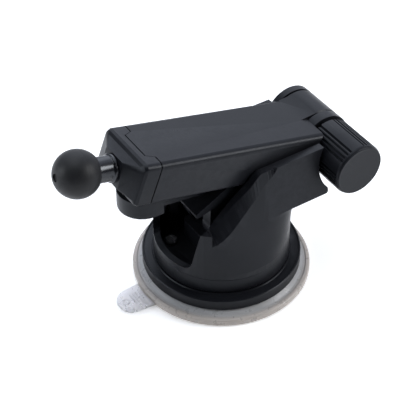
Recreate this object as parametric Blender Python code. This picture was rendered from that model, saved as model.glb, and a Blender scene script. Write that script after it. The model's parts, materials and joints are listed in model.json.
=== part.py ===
"""Folding telescopic car phone mount: gel suction base, cam lever, tower, sliding arm and 17 mm ball.

Metres, +Z up. The origin is the centre of the gel disc's underside. The arm folds towards -X, and the clamp
knob is on the -Y side. Sizes below are written in millimetres times MM.
"""

import math

import bmesh
import bpy
from mathutils import Matrix, Vector

MM = 0.001
GAP = 0.3 * MM  # between pieces that touch

# Gel cup and its pull tab
GEL_RADIUS = 34.4 * MM
GEL_RIM_HEIGHT = 2.8 * MM
GEL_SEAT_HEIGHT = 4.2 * MM
GEL_SEAT_RADIUS = 30.0 * MM
GEL_MEMBRANE = 2.6 * MM
TAB_END = 45.9 * MM
TAB_WIDTH = 11.0 * MM
TAB_BOTTOM = 0.2 * MM
TAB_THICKNESS = 1.4 * MM

# Base plate and cup housing
PLATE_RADIUS = 30.6 * MM
PLATE_BOTTOM = 4.5 * MM
PLATE_TOP = 9.3 * MM
PLATE_BORE = 15.8 * MM
HOUSING_BOTTOM = PLATE_TOP + GAP
HOUSING_FOOT_RADIUS = 26.3 * MM
HOUSING_TOP_RADIUS = 25.8 * MM
HOUSING_TOP = 15.3 * MM
HOUSING_RIM_WALL = 2.4 * MM
DECK_TOP = 12.6 * MM

# Tower
TOWER_RADIUS = 26.0 * MM
TOWER_WALL = 2.6 * MM
RIM_HEIGHT = 54.5 * MM
WALL_LEAN = 0.235  # the side walls lean in, metre for metre, above WALL_LEAN_START
WALL_LEAN_START = 18.0 * MM
FRONT_TOP = 37.1 * MM  # top of the front wall, either side of the slot
# Facet outside the sloping rim: its upper crease and its lower edge rise along straight lines
FACET_START_X = -17.0 * MM
FACET_END_X = 12.9 * MM
FACET_CREASE_Y = 17.0 * MM
FACET_CREASE = (34.8 * MM, 0.98)  # height at the start, and slope
FACET_EDGE = (31.9 * MM, 0.767)
SHELF_HEIGHT = 36.0 * MM
WING_END_X = 33.0 * MM
SLOT_FLOOR = 18.2 * MM
CHANNEL_HALF_WIDTH = 14.3 * MM

# Arm: modelled level, with the pivot at its own origin and the ball towards -X, then tilted about the pivot
PIVOT = Vector((42.1 * MM, 0, 46.4 * MM))
ARM_TILT = math.radians(14.3)
ARM_HALF_WIDTH = 13.5 * MM
ARM_TOP = 7.8 * MM
ARM_BOTTOM = -7.9 * MM
SEAM_X = -78.9 * MM
TONGUE_X = -82.1 * MM
CAP_FRONT_X = -86.0 * MM  # at the top edge
CAP_LEAN = 0.12  # the cap's front and seam lean towards the ball below, metre for metre
CAP_HOLLOW_X = -85.4 * MM
CAP_NOSE_X = -90.0 * MM
BALL_X = -103.6 * MM
BALL_RADIUS = 8.5 * MM
NECK_RADIUS = 4.6 * MM
KNUCKLE_RADIUS = 10.6 * MM
KNUCKLE_NEAR_Y = -1.9 * MM
RAMP_X = -10.5 * MM  # where the arm's top starts to rise to the knuckle
SLIDE_HALF_WIDTH = 10.7 * MM
SLIDE_TOP = 5.2 * MM
SLIDE_BOTTOM = -4.4 * MM
SLIDE_REAR_X = -21.5 * MM
SLIDE_TRAVEL = 42.0 * MM
TROUGH_REAR_X = -19.0 * MM
SLIDE_END_WALL = 3.0 * MM
SLIDE_PAD_X = (-42.0 * MM, -26.0 * MM)
COVER_REAR_X = -12.2 * MM
COVER_SCREW_X = -15.6 * MM
COVER_SCREW_Y = (-7.0 * MM, 7.0 * MM)
CAP_SCREW_X = -83.4 * MM
CAP_SCREW_Y = (-9.1 * MM, 9.1 * MM)

# Pivot hardware and knob
EAR_NEAR_Y = (-6.2 * MM, KNUCKLE_NEAR_Y - GAP)
EAR_FAR_Y = (13.9 * MM, 16.8 * MM)
BOLT_RADIUS = 2.4 * MM
BOLT_HOLE = 2.65 * MM
KNOB_RADIUS = 10.3 * MM
KNOB_FACE_RADIUS = 9.9 * MM
KNOB_INNER_Y = -7.4 * MM
KNOB_OUTER_Y = -27.7 * MM
KNOB_PANELS = 6
KNOB_FINE_RIBS = 3
KNOB_PHASE = math.radians(80)

# Suction lever, cam and plunger
PIN = Vector((0, 0, 26.0 * MM))
PIN_RADIUS = 1.5 * MM
PIN_HOLE = 1.6 * MM
LEVER_SWING = math.radians(48)
PLUNGER_LIFT = 3.2 * MM
PLUNGER_RADIUS = 3.9 * MM
FOOT_RADIUS = 14.8 * MM
CAM_RADIUS = 9.0 * MM
CAM_RISE = 4.0 * MM  # height of the cam circle's centre over the pin, lever raised
CAM_BACK = (PLUNGER_LIFT - CAM_RISE * (1 - math.cos(LEVER_SWING))) / math.sin(LEVER_SWING)
LEVER_EAR_INNER = 4.5 * MM
LEVER_EAR_OUTER = 9.4 * MM
APRON_HALF_WIDTH = 11.2 * MM
HEAD_RADIUS = 9.2 * MM
HEAD_TIP_X = -43.0 * MM
HEAD_BOTTOM = 47.6 * MM
HEAD_TOP = 54.8 * MM

# Fasteners
SCREW_RADIUS = 1.2 * MM
SCREW_HEAD_RADIUS = 2.4 * MM
SCREW_HOLE = 1.35 * MM
SCREW_RECESS = SCREW_HEAD_RADIUS + 0.2 * MM
DECK_SCREWS = [(x * 17.0 * MM, y * 8.9 * MM) for x in (-1, 1) for y in (-1, 1)]
TOWER_SCREWS = [
    (20.2 * MM * math.cos(math.radians(a)), 20.2 * MM * math.sin(math.radians(a)))
    for a in (60, 120, 240, 300)
]


# ---- tools ----------------------------------------------------------------------------------------------


def clear_scene():
    for obj in list(bpy.data.objects):
        bpy.data.objects.remove(obj, do_unlink=True)


def make_material(name, colour, roughness, metallic=0.0, alpha=1.0):
    material = bpy.data.materials.new(name)
    material.use_nodes = True
    shader = material.node_tree.nodes["Principled BSDF"]
    shader.inputs["Base Color"].default_value = (*colour, 1.0)
    shader.inputs["Roughness"].default_value = roughness
    shader.inputs["Metallic"].default_value = metallic
    shader.inputs["Alpha"].default_value = alpha
    return material


def add_object(name, bm, material=None, parent=None, smooth_angle=35):
    """Turns a bmesh into an object of that name, with its faces pointing out."""
    bmesh.ops.remove_doubles(bm, verts=bm.verts, dist=1e-7)
    bmesh.ops.dissolve_degenerate(bm, edges=bm.edges, dist=1e-7)
    bmesh.ops.recalc_face_normals(bm, faces=bm.faces)
    mesh = bpy.data.meshes.new(name)
    bm.to_mesh(mesh)
    bm.free()
    mesh.shade_smooth()
    mesh.set_sharp_from_angle(angle=math.radians(smooth_angle))
    obj = bpy.data.objects.new(name, mesh)
    bpy.context.scene.collection.objects.link(obj)
    if material:
        mesh.materials.append(material)
    obj.parent = parent
    return obj


def rounded(corners, steps=4):
    """Outline through (x, y, radius) corners, each rounded by an arc of its radius."""
    points = []
    count = len(corners)
    for i, (x, y, radius) in enumerate(corners):
        here = Vector((x, y))
        if radius <= 0:
            points.append(here)
            continue
        before = (Vector(corners[i - 1][:2]) - here).normalized()
        after = (Vector(corners[(i + 1) % count][:2]) - here).normalized()
        half = before.angle(after) / 2
        start = here + before * radius / math.tan(half)
        end = here + after * radius / math.tan(half)
        centre = here + (before + after).normalized() * radius / math.sin(half)
        turn = (start - centre).angle_signed(end - centre)
        for k in range(steps + 1):
            arm = (start - centre).copy()
            arm.rotate(Matrix.Rotation(-turn * k / steps, 2))
            points.append(centre + arm)
    return points


def prism(outline, axis, low, high):
    """Solid of an outline extruded along X, Y or Z. The outline is in (y, z), (x, z) or (x, y)."""
    bm = bmesh.new()
    place = {
        "X": lambda p: (low, p[0], p[1]),
        "Y": lambda p: (p[0], low, p[1]),
        "Z": lambda p: (p[0], p[1], low),
    }[axis]
    move = {"X": (high - low, 0, 0), "Y": (0, high - low, 0), "Z": (0, 0, high - low)}[axis]
    face = bm.faces.new([bm.verts.new(place(p)) for p in outline])
    made = bmesh.ops.extrude_face_region(bm, geom=[face])
    bmesh.ops.translate(
        bm, vec=move, verts=[v for v in made["geom"] if isinstance(v, bmesh.types.BMVert)]
    )
    return bm


def box(x, y, z):
    """Solid box from (low, high) along each axis."""
    return prism([(x[0], y[0]), (x[1], y[0]), (x[1], y[1]), (x[0], y[1])], "Z", *z)


def turned(profile, steps=48, axis="Z", centre=(0, 0, 0)):
    """Solid of a closed (radius, height) profile turned about an axis through centre."""
    bm = bmesh.new()
    ring = [bm.verts.new((r, 0, h)) for r, h in profile]
    edges = [bm.edges.new((ring[i - 1], ring[i])) for i in range(len(ring))]
    bmesh.ops.spin(
        bm, geom=ring + edges, cent=(
            0, 0, 0
        ), axis=(0, 0, 1), angle=math.tau, steps=steps, use_merge=True
    )
    bmesh.ops.remove_doubles(bm, verts=bm.verts, dist=1e-7)
    turn = {
        "Z": Matrix(),
        "X": Matrix.Rotation(math.pi / 2, 4, "Y"),
        "Y": Matrix.Rotation(-math.pi / 2, 4, "X"),
    }
    bmesh.ops.transform(bm, matrix=Matrix.Translation(centre) @ turn[axis], verts=bm.verts)
    return bm


def rod(radius, low, high, axis="Z", centre=(0, 0, 0), steps=24, chamfer=0.0):
    """Solid cylinder from low to high along an axis through centre, with chamfered ends."""
    profile = [(0, low), (radius - chamfer, low), (radius, low + chamfer)]
    profile += [(radius, high - chamfer), (radius - chamfer, high), (0, high)]
    if chamfer == 0:
        profile = [(0, low), (radius, low), (radius, high), (0, high)]
    return turned(profile, steps, axis, centre)


def loft(sections):
    """Solid through rings of (x, y, z) points, all with the same number of points, capped at both ends."""
    bm = bmesh.new()
    rings = [[bm.verts.new(p) for p in section] for section in sections]
    count = len(rings[0])
    for lower, upper in zip(rings, rings[1:]):
        for i in range(count):
            bm.faces.new((lower[i - 1], lower[i], upper[i], upper[i - 1]))
    bm.faces.new(rings[0])
    bm.faces.new(rings[-1])
    bmesh.ops.triangulate(bm, faces=bm.faces[:])
    return bm


def combine(obj, bm, operation, parent=None):
    """Boolean of obj with a helper solid, which stays in the file as a hidden cutter."""
    helper = add_object(f"cutter_{len(bpy.data.objects)}", bm, parent=parent or obj.parent)
    helper.hide_render = True
    helper.display_type = "WIRE"
    modifier = obj.modifiers.new(operation.title(), "BOOLEAN")
    modifier.operation = operation
    modifier.object = helper
    modifier.solver = "EXACT"
    return helper


def cut(obj, bm):
    return combine(obj, bm, "DIFFERENCE")


def join(obj, bm):
    return combine(obj, bm, "UNION")


def screw(name, x, y, head_top, tip, material, parent=None, axis="Z", head_height=1.5 * MM):
    """Pan-head screw from head_top to tip, either way up, with a slot in its head."""
    way = 1 if head_top > tip else -1
    under = head_top - way * head_height
    round_over = min(0.6 * MM, head_height * 0.4)
    profile = [
        (0, head_top),
        (SCREW_HEAD_RADIUS * 0.8, head_top),
        (SCREW_HEAD_RADIUS, head_top - way * round_over),
    ]
    profile += [(SCREW_HEAD_RADIUS, under), (SCREW_RADIUS, under), (SCREW_RADIUS, tip + way * 0.8 * MM)]
    profile += [(SCREW_RADIUS * 0.4, tip), (0, tip)]
    obj = add_object(name, turned(profile, 16, axis, (x, y, 0)), material, parent)
    slot = sorted((head_top - way * min(0.7 * MM, head_height * 0.6), head_top + way * MM))
    cut(obj, box((x - 0.35 * MM, x + 0.35 * MM), (y - 3 * MM, y + 3 * MM), slot))
    return obj


def arm_underside(x, below=0.0):
    """Height of the tilted arm's underside over a world x, less a clearance."""
    return PIVOT.z + (PIVOT.x - x) * math.tan(ARM_TILT) + (ARM_BOTTOM - below) / math.cos(ARM_TILT)


# ---- base -----------------------------------------------------------------------------------------------


def make_gel_cup(material):
    profile = [
        (0, 0),
        (GEL_RADIUS - 0.7 * MM, 0),
        (GEL_RADIUS, 0.7 * MM),
        (GEL_RADIUS, GEL_RIM_HEIGHT - 0.5 * MM),
    ]
    profile += [
        (GEL_RADIUS - 0.5 * MM, GEL_RIM_HEIGHT), (GEL_SEAT_RADIUS + 1.6 * MM, GEL_RIM_HEIGHT + 0.3 * MM)
    ]
    profile += [
        (GEL_SEAT_RADIUS, GEL_SEAT_HEIGHT), (21 * MM, GEL_SEAT_HEIGHT), (18.5 * MM, GEL_MEMBRANE)
    ]
    profile += [(0, GEL_MEMBRANE)]
    cup = add_object("gel_cup", turned(profile, 60), material)
    half = TAB_WIDTH / 2
    outline = rounded(
        [
            (-TAB_END, half, half * 0.96),
            (-TAB_END, -half, half * 0.96),
            (-GEL_RADIUS + 4 * MM, -half - 1.2 * MM, 0),
            (-GEL_RADIUS + 4 * MM, half + 1.2 * MM, 0),
        ],
        6,
    )
    join(cup, prism(outline, "Z", TAB_BOTTOM, TAB_BOTTOM + TAB_THICKNESS))
    return cup


def make_base_plate(material):
    rim = PLATE_RADIUS
    foot = HOUSING_FOOT_RADIUS
    profile = [(PLATE_BORE, PLATE_BOTTOM), (rim - 0.5 * MM, PLATE_BOTTOM)]
    profile += [(rim, PLATE_BOTTOM + 0.5 * MM), (rim, PLATE_TOP - 0.3 * MM)]
    profile += [(rim - 0.3 * MM, PLATE_TOP), (rim - 0.6 * MM, PLATE_TOP)]
    profile += [(rim - 0.8 * MM, PLATE_TOP - 0.4 * MM), (foot + 0.6 * MM, PLATE_TOP - 0.4 * MM)]
    profile += [(foot + 0.3 * MM, PLATE_TOP), (PLATE_BORE, PLATE_TOP)]
    plate = add_object("base_plate", turned(profile, 60), material)
    for x, y in DECK_SCREWS:
        cut(plate, rod(SCREW_HOLE, PLATE_BOTTOM + 0.8 * MM, PLATE_TOP + MM, centre=(x, y, 0), steps=8))
    return plate


def make_cup_housing(material):
    inner = HOUSING_TOP_RADIUS - HOUSING_RIM_WALL
    bore = PLUNGER_RADIUS + 0.3 * MM
    profile = [(0, HOUSING_BOTTOM), (HOUSING_FOOT_RADIUS - 0.3 * MM, HOUSING_BOTTOM)]
    profile += [(HOUSING_FOOT_RADIUS, HOUSING_BOTTOM + 0.3 * MM), (HOUSING_TOP_RADIUS, HOUSING_TOP)]
    profile += [(inner, HOUSING_TOP), (inner, DECK_TOP), (0, DECK_TOP)]
    housing = add_object("cup_housing", turned(profile, 60), material)
    pedestal_top = PIN.z + CAM_RISE - CAM_RADIUS - GAP
    pedestal = rounded(
        [
            (-11 * MM, -10.6 * MM, 2 * MM),
            (7 * MM, -10.6 * MM, 2 * MM),
            (7 * MM, 10.6 * MM, 2 * MM),
            (-11 * MM, 10.6 * MM, 2 * MM),
        ],
        3,
    )
    join(housing, prism(pedestal, "Z", DECK_TOP - MM, pedestal_top))
    cut(housing, rod(bore, HOUSING_BOTTOM - MM, pedestal_top + MM, steps=24))
    for x, y in DECK_SCREWS:
        cut(housing, rod(SCREW_HOLE, HOUSING_BOTTOM - MM, DECK_TOP + MM, centre=(x, y, 0), steps=12))
    for x, y in TOWER_SCREWS:
        cut(housing, rod(SCREW_HOLE, HOUSING_BOTTOM - MM, DECK_TOP + MM, centre=(x, y, 0), steps=12))
        head = rod(
            SCREW_HEAD_RADIUS + GAP,
            HOUSING_BOTTOM - MM,
            HOUSING_BOTTOM + 1.8 * MM,
            centre=(x, y, 0),
            steps=16,
        )
        cut(housing, head)
    return housing


def make_plunger(material):
    foot_bottom = GEL_MEMBRANE + GAP
    foot_top = foot_bottom + 2 * MM
    profile = [
        (0, foot_bottom), (FOOT_RADIUS - 0.4 * MM, foot_bottom), (FOOT_RADIUS, foot_bottom + 0.4 * MM)
    ]
    profile += [
        (FOOT_RADIUS, foot_top),
        (PLUNGER_RADIUS + 1.5 * MM, foot_top),
        (PLUNGER_RADIUS, foot_top + 1.5 * MM),
    ]
    profile += [
        (PLUNGER_RADIUS, PIN.z + 3.2 * MM),
        (PLUNGER_RADIUS - 0.8 * MM, PIN.z + 4 * MM),
        (0, PIN.z + 4 * MM),
    ]
    plunger = add_object("cup_plunger", turned(profile, 36), material)
    cut(plunger, rod(PIN_HOLE, -6 * MM, 6 * MM, "Y", (PIN.x, 0, PIN.z), 16))
    return plunger


# ---- tower ----------------------------------------------------------------------------------------------


def tower_half_width(z):
    """The side walls lean in towards the top."""
    return TOWER_RADIUS - WALL_LEAN * (z - WALL_LEAN_START)


def soft_side(side, z):
    """Reach across of a round wall at height z, flattened by the leaning side with a soft crease."""
    half = tower_half_width(z) + 0.02 * MM
    soft = min(4 * MM, max(0.3 * MM, (z - 16 * MM) * 0.35))
    spread = abs(side - half)
    return min(side, half) - max(0, soft - spread) ** 2 / (4 * soft)


def tower_ring(z, radius, flare=0.0, steps=60):
    """Ring at height z. The flare widens its back."""
    ring = []
    for k in range(steps):
        turn = math.tau * k / steps
        reach = radius + flare * max(0, math.cos(turn)) ** 2
        side = reach * math.sin(turn)
        ring.append((reach * math.cos(turn), math.copysign(soft_side(abs(side), z), side), z))
    return ring


def facet_cutter(side, count=24):
    """Cutter for the twisted facet outside the sloping rim, which starts with a step near the front."""
    sections = []
    for k in range(count + 1):
        along = (FACET_END_X - FACET_START_X) * k / count
        x = FACET_START_X + along
        crease = min(FACET_CREASE[0] + FACET_CREASE[1] * along, RIM_HEIGHT + 0.2 * MM)
        low = FACET_EDGE[0] + FACET_EDGE[1] * along
        wall = soft_side(math.sqrt(TOWER_RADIUS**2 - x**2), low)
        fall = (crease - low) / (wall - FACET_CREASE_Y)
        inner, outer = 12 * MM, wall + 0.4 * MM
        ends = [(y, crease - fall * (y - FACET_CREASE_Y)) for y in (inner, outer)]
        ends += [(34 * MM, ends[1][1]), (34 * MM, 100 * MM), (inner, 100 * MM)]
        sections.append([(x, side * y, z) for y, z in ends])
    return loft(sections)


def make_tower(material):
    base = TOWER_RADIUS
    flares = [(15.6, 0), (18, 0), (21, 0), (24, 0), (27, 0), (30.5, 0.4), (33.5, 1.3), (35.5, 2.7)]
    flares += [(37.5, 4), (41, 4), (45, 4), (49, 4), (53, 4), (58, 4)]
    rings = [tower_ring(z * MM, base, flare * MM) for z, flare in flares]
    tower = add_object("tower_shell", loft(rings), material, smooth_angle=28)
    wing = rounded(
        [
            (2 * MM, SHELF_HEIGHT, 0),
            (WING_END_X, SHELF_HEIGHT, 1.0 * MM),
            (WING_END_X, 57.5 * MM, 0),
            (2 * MM, 57.5 * MM, 0),
        ],
        4,
    )
    join(tower, prism(wing, "Y", -30 * MM, 30 * MM))
    wide = tower_half_width(10 * MM)
    narrow = tower_half_width(80 * MM)
    lean = [(-wide, 10 * MM), (wide, 10 * MM), (narrow, 80 * MM), (-narrow, 80 * MM)]
    combine(tower, prism(lean, "X", -50 * MM, 50 * MM), "INTERSECT")
    above = rounded(
        [
            (-45 * MM, FRONT_TOP, 0),
            (-17.0 * MM, FRONT_TOP, 1 * MM),
            (-13.2 * MM, 39.0 * MM, 3 * MM),
            (-6.4 * MM, 45.3 * MM, 8 * MM),
            (0.6 * MM, 50.6 * MM, 5 * MM),
            (4.6 * MM, RIM_HEIGHT, 4 * MM),
            (70 * MM, RIM_HEIGHT, 0),
            (70 * MM, 80 * MM, 0),
            (-45 * MM, 80 * MM, 0),
        ],
        4,
    )
    cut(tower, prism(above, "Y", -40 * MM, 40 * MM))
    for side in (-1, 1):
        cut(tower, facet_cutter(side))

    # The well: round and open below, then a square shaft with a sloping ceiling that carries the folded arm.
    inner = TOWER_RADIUS - TOWER_WALL
    step = 21.3 * MM
    well = [
        (0, 10 * MM), (inner, 10 * MM), (inner, 23 * MM), (step, 25 * MM), (step, 30 * MM), (0, 30 * MM)
    ]
    cut(tower, turned(well, 60))
    ceiling = 3.2 * MM
    split = 9 * MM
    shaft = [
        (-18.6 * MM, 28 * MM),
        (21 * MM, 28 * MM),
        (21 * MM, arm_underside(21 * MM, ceiling)),
        (split, arm_underside(split, ceiling)),
        (split, 75 * MM),
        (-18.6 * MM, 75 * MM),
    ]
    cut(tower, prism(shaft, "Y", -CHANNEL_HALF_WIDTH, CHANNEL_HALF_WIDTH))

    # The channel between the cheeks, over the arm's underside.
    saddle = 0.8 * MM
    over = [
        (-40 * MM, arm_underside(-40 * MM, saddle)),
        (60 * MM, arm_underside(60 * MM, saddle)),
        (60 * MM, 85 * MM),
        (-40 * MM, 85 * MM),
    ]
    cut(tower, prism(over, "Y", -CHANNEL_HALF_WIDTH - 0.05 * MM, CHANNEL_HALF_WIDTH + 0.05 * MM))
    swing = KNUCKLE_RADIUS + 0.8 * MM
    centre = (PIVOT.x, 0, PIVOT.z)
    cut(tower, rod(swing, -CHANNEL_HALF_WIDTH, EAR_FAR_Y[0] + 0.1 * MM, "Y", centre, 48))
    cut(tower, rod(12.3 * MM, -40 * MM, EAR_NEAR_Y[0] - 0.4 * MM, "Y", centre, 48))
    cut(tower, rod(12.3 * MM, EAR_FAR_Y[1] - 0.4 * MM, 40 * MM, "Y", centre, 48))

    # Two ears carry the pivot bolt: one inboard beside the knob, one that grows out of the far cheek.
    web_top = ARM_BOTTOM - saddle
    for near, far in (EAR_NEAR_Y, EAR_FAR_Y):
        join(tower, rod(KNUCKLE_RADIUS, near, far, "Y", centre, 48))
    tilt = Matrix.Rotation(-ARM_TILT, 2)

    def at_pivot(x, z):
        turned_point = tilt @ Vector((x, z))
        return (PIVOT.x + turned_point.x, PIVOT.z + turned_point.y)

    near_web = [
        at_pivot(-20 * MM, web_top - 0.3 * MM),
        (PIVOT.x - 20 * MM, SHELF_HEIGHT + 0.3 * MM),
        (PIVOT.x - 2 * MM, SHELF_HEIGHT + 0.3 * MM),
        at_pivot(-5.2 * MM, web_top - 0.3 * MM),
    ]
    join(tower, prism(near_web, "Y", *EAR_NEAR_Y))
    far_web = [
        (PIVOT.x - 18 * MM, SHELF_HEIGHT + 0.2 * MM),
        (PIVOT.x - 2 * MM, SHELF_HEIGHT + 0.2 * MM),
        (PIVOT.x - 2 * MM, PIVOT.z + 7.5 * MM),
        (PIVOT.x - 18 * MM, RIM_HEIGHT - 0.2 * MM),
    ]
    join(tower, prism(far_web, "Y", EAR_FAR_Y[0] + 0.8 * MM, EAR_FAR_Y[1] - 0.8 * MM))
    cut(tower, rod(BOLT_HOLE, EAR_NEAR_Y[0] - MM, EAR_FAR_Y[1] + MM, "Y", centre, 20))
    hexagon = rod(4.6 * MM, EAR_FAR_Y[1] - 1.4 * MM, EAR_FAR_Y[1] + MM, "Y", centre, 6)
    cut(tower, hexagon)

    # The slot in the front wall that the lever swings down through narrows to the shaft's width behind.
    slot = []
    for x, low, high in ((-40, 12.9, 16.5), (-19.6, 12.9, 16.5), (-13, 12.3, 14.35)):
        outline = rounded(
            [
                (-low * MM, SLOT_FLOOR, 4 * MM),
                (low * MM, SLOT_FLOOR, 4 * MM),
                (high * MM, FRONT_TOP, 0),
                (high * MM, 60 * MM, 0),
                (-high * MM, 60 * MM, 0),
                (-high * MM, FRONT_TOP, 0),
            ],
            4,
        )
        slot.append([(x * MM, y, z) for y, z in outline])
    cut(tower, loft(slot))

    # Screw posts inside the wall.
    for x, y in TOWER_SCREWS:
        join(tower, rod(2.9 * MM, DECK_TOP + GAP, 28 * MM, centre=(x, y, 0), steps=12))
        cut(tower, rod(SCREW_HOLE, DECK_TOP - MM, 21.5 * MM, centre=(x, y, 0), steps=12))
    return tower


# ---- suction lever --------------------------------------------------------------------------------------


def make_lever(material):
    head_centre = HEAD_TIP_X + HEAD_RADIUS
    head_end = -30.5 * MM
    tip = [
        (head_centre - HEAD_RADIUS * math.sin(a), HEAD_RADIUS * math.cos(a))
        for a in (math.pi * k / 14 for k in range(15))
    ]
    outline = [(head_end, HEAD_RADIUS), *tip, (head_end, -HEAD_RADIUS)]
    lever = add_object("suction_lever", prism(outline, "Z", HEAD_BOTTOM, HEAD_TOP), material)
    stem = [
        (-33 * MM, 53.0 * MM),
        (-33 * MM, 49.0 * MM),
        (-7 * MM, 45.0 * MM),
        (0 * MM, 45.0 * MM),
        (0 * MM, arm_underside(0, 1.4 * MM)),
    ]
    join(lever, prism(stem, "Y", -6.6 * MM, 6.6 * MM))
    apron = [
        (-18.6 * MM, 41.9 * MM),
        (-18.0 * MM, 40.0 * MM),
        (-2.0 * MM, 44.0 * MM),
        (0.5 * MM, 46.5 * MM),
        (-3.5 * MM, 49.6 * MM),
    ]
    join(lever, prism(apron, "Y", -APRON_HALF_WIDTH, APRON_HALF_WIDTH))
    cam_x = PIN.x - CAM_BACK
    cam_z = PIN.z + CAM_RISE
    for near, far in ((-LEVER_EAR_OUTER, -LEVER_EAR_INNER), (LEVER_EAR_INNER, LEVER_EAR_OUTER)):
        join(lever, rod(CAM_RADIUS, near, far, "Y", (cam_x, 0, cam_z), 36))
        ear = [
            (cam_x - 0.985 * CAM_RADIUS, cam_z + 0.1 * MM),
            (cam_x + 0.985 * CAM_RADIUS, cam_z + 0.1 * MM),
            (0.2 * MM, 46.0 * MM),
            (-11.0 * MM, 43.5 * MM),
        ]
        join(lever, prism(ear, "Y", near + 0.05 * MM, far - 0.05 * MM))
    cut(lever, rod(PIN_HOLE, -14 * MM, 14 * MM, "Y", (PIN.x, 0, PIN.z), 16))
    # The head is a shell with walls, open below.
    hollow = [(p[0] * 0.955 - 1.2 * MM, p[1] * 0.78) for p in outline[1:-1]]
    hollow = [(-32.4 * MM, HEAD_RADIUS * 0.78), *hollow, (-32.4 * MM, -HEAD_RADIUS * 0.78)]
    cut(lever, prism(hollow, "Z", HEAD_BOTTOM - MM, HEAD_TOP - 2.2 * MM))
    return lever


# ---- arm ------------------------------------------------------------------------------------------------


def arm_outline(inset=0.0, top_round=2.2 * MM, bottom_round=0.8 * MM, steps=4):
    """The arm's cross-section in (y, z)."""
    half = ARM_HALF_WIDTH - inset
    return rounded(
        [
            (-half, ARM_BOTTOM + inset, bottom_round),
            (half, ARM_BOTTOM + inset, bottom_round),
            (half, ARM_TOP - inset, top_round),
            (-half, ARM_TOP - inset, top_round),
        ],
        steps,
    )


def seam_prism(shift, reach):
    """Solid on the ball side of the seam between sleeve and cap, which has a trapezoid tongue in plan."""
    wide = 20 * MM
    outline = [
        (SEAM_X + shift, -wide),
        (SEAM_X + shift, -8.2 * MM),
        (TONGUE_X + shift, -6.6 * MM),
        (TONGUE_X + shift, 6.6 * MM),
        (SEAM_X + shift, 8.2 * MM),
        (SEAM_X + shift, wide),
        (reach, wide),
        (reach, -wide),
    ]
    bm = prism(outline, "Z", -20 * MM, 20 * MM)
    lean = Matrix.Translation((-CAP_LEAN * ARM_TOP, 0, 0))
    lean[0][2] = CAP_LEAN
    bmesh.ops.transform(bm, matrix=lean, verts=bm.verts)
    return bm


def make_arm_sleeve(material, parent):
    end = -5.0 * MM
    sleeve = add_object("arm_sleeve", prism(arm_outline(), "X", TONGUE_X - 3 * MM, end), material, parent)
    cut(sleeve, seam_prism(0.0, -95 * MM))
    # A trough under the top and between the sides takes the inner slide, closed below by the cover.
    inner = SLIDE_HALF_WIDTH + 0.4 * MM
    cut(
        sleeve,
        box(
            (-100 * MM, TROUGH_REAR_X), (-inner, inner), (SLIDE_BOTTOM - 0.3 * MM, SLIDE_TOP + 0.4 * MM)
        ),
    )
    cover = 11.9 * MM
    cut(
        sleeve,
        box(
            (-100 * MM, COVER_REAR_X + 0.3 * MM),
            (-cover, cover),
            (ARM_BOTTOM - MM, SLIDE_BOTTOM - 0.2 * MM),
        ),
    )
    notch = KNUCKLE_RADIUS + 0.4 * MM
    cut(sleeve, rod(notch, -20 * MM, KNUCKLE_NEAR_Y - 0.02 * MM, "Y", (0, 0, 0), 48))
    cut(
        sleeve, box((-0.5 * notch, 20 * MM), (-20 * MM, KNUCKLE_NEAR_Y - 0.02 * MM), (-20 * MM, 20 * MM))
    )
    join(sleeve, rod(KNUCKLE_RADIUS, KNUCKLE_NEAR_Y, ARM_HALF_WIDTH, "Y", (0, 0, 0), 48, 0.5 * MM))
    # Short ramp from the arm's top to the knuckle, tangent to it.
    corner = Vector((RAMP_X, ARM_TOP - 0.05 * MM))
    reach = KNUCKLE_RADIUS - 0.07 * MM
    touch = math.atan2(corner.y, corner.x) - math.acos(reach / corner.length)
    ramp = [
        tuple(corner),
        (reach * math.cos(touch), reach * math.sin(touch)),
        (-2 * MM, 4 * MM),
        (RAMP_X, 4 * MM),
    ]
    join(sleeve, prism(ramp, "Y", KNUCKLE_NEAR_Y + 0.2 * MM, ARM_HALF_WIDTH - 0.9 * MM))
    cut(sleeve, rod(BOLT_HOLE, -20 * MM, 20 * MM, "Y", (0, 0, 0), 20))
    pocket = 1.2 * MM
    cut(sleeve, rod(7.3 * MM, -20 * MM, KNUCKLE_NEAR_Y + pocket, "Y", (0, 0, 0), 32))
    cut(sleeve, rod(7.3 * MM, ARM_HALF_WIDTH - pocket, 20 * MM, "Y", (0, 0, 0), 32))
    for y in COVER_SCREW_Y:
        cut(sleeve, rod(SCREW_HOLE, ARM_BOTTOM - MM, 1.4 * MM, centre=(COVER_SCREW_X, y, 0), steps=12))
    return sleeve


def make_bottom_cover(material, parent):
    """Plate that closes the trough, with a stop boss for the slide and two screws at its rear."""
    half = 11.6 * MM
    low, high = ARM_BOTTOM, SLIDE_BOTTOM - 0.6 * MM
    outline = rounded(
        [
            (SEAM_X + 0.3 * MM, -half, 0.8 * MM),
            (COVER_REAR_X, -half, 0.8 * MM),
            (COVER_REAR_X, half, 0.8 * MM),
            (SEAM_X + 0.3 * MM, half, 0.8 * MM),
        ],
        2,
    )
    cover = add_object("arm_bottom_cover", prism(outline, "Z", low, high), material, parent)
    boss_rear = SLIDE_REAR_X - SLIDE_END_WALL - SLIDE_TRAVEL - 0.5 * MM
    join(cover, box((boss_rear - 2 * MM, boss_rear), (-5 * MM, 5 * MM), (high - 0.5 * MM, -1.2 * MM)))
    for y in COVER_SCREW_Y:
        cut(cover, rod(SCREW_HOLE, low - MM, high + MM, centre=(COVER_SCREW_X, y, 0), steps=12))
        cut(cover, rod(SCREW_RECESS, low - MM, low + 0.9 * MM, centre=(COVER_SCREW_X, y, 0), steps=12))
    return cover


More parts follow.
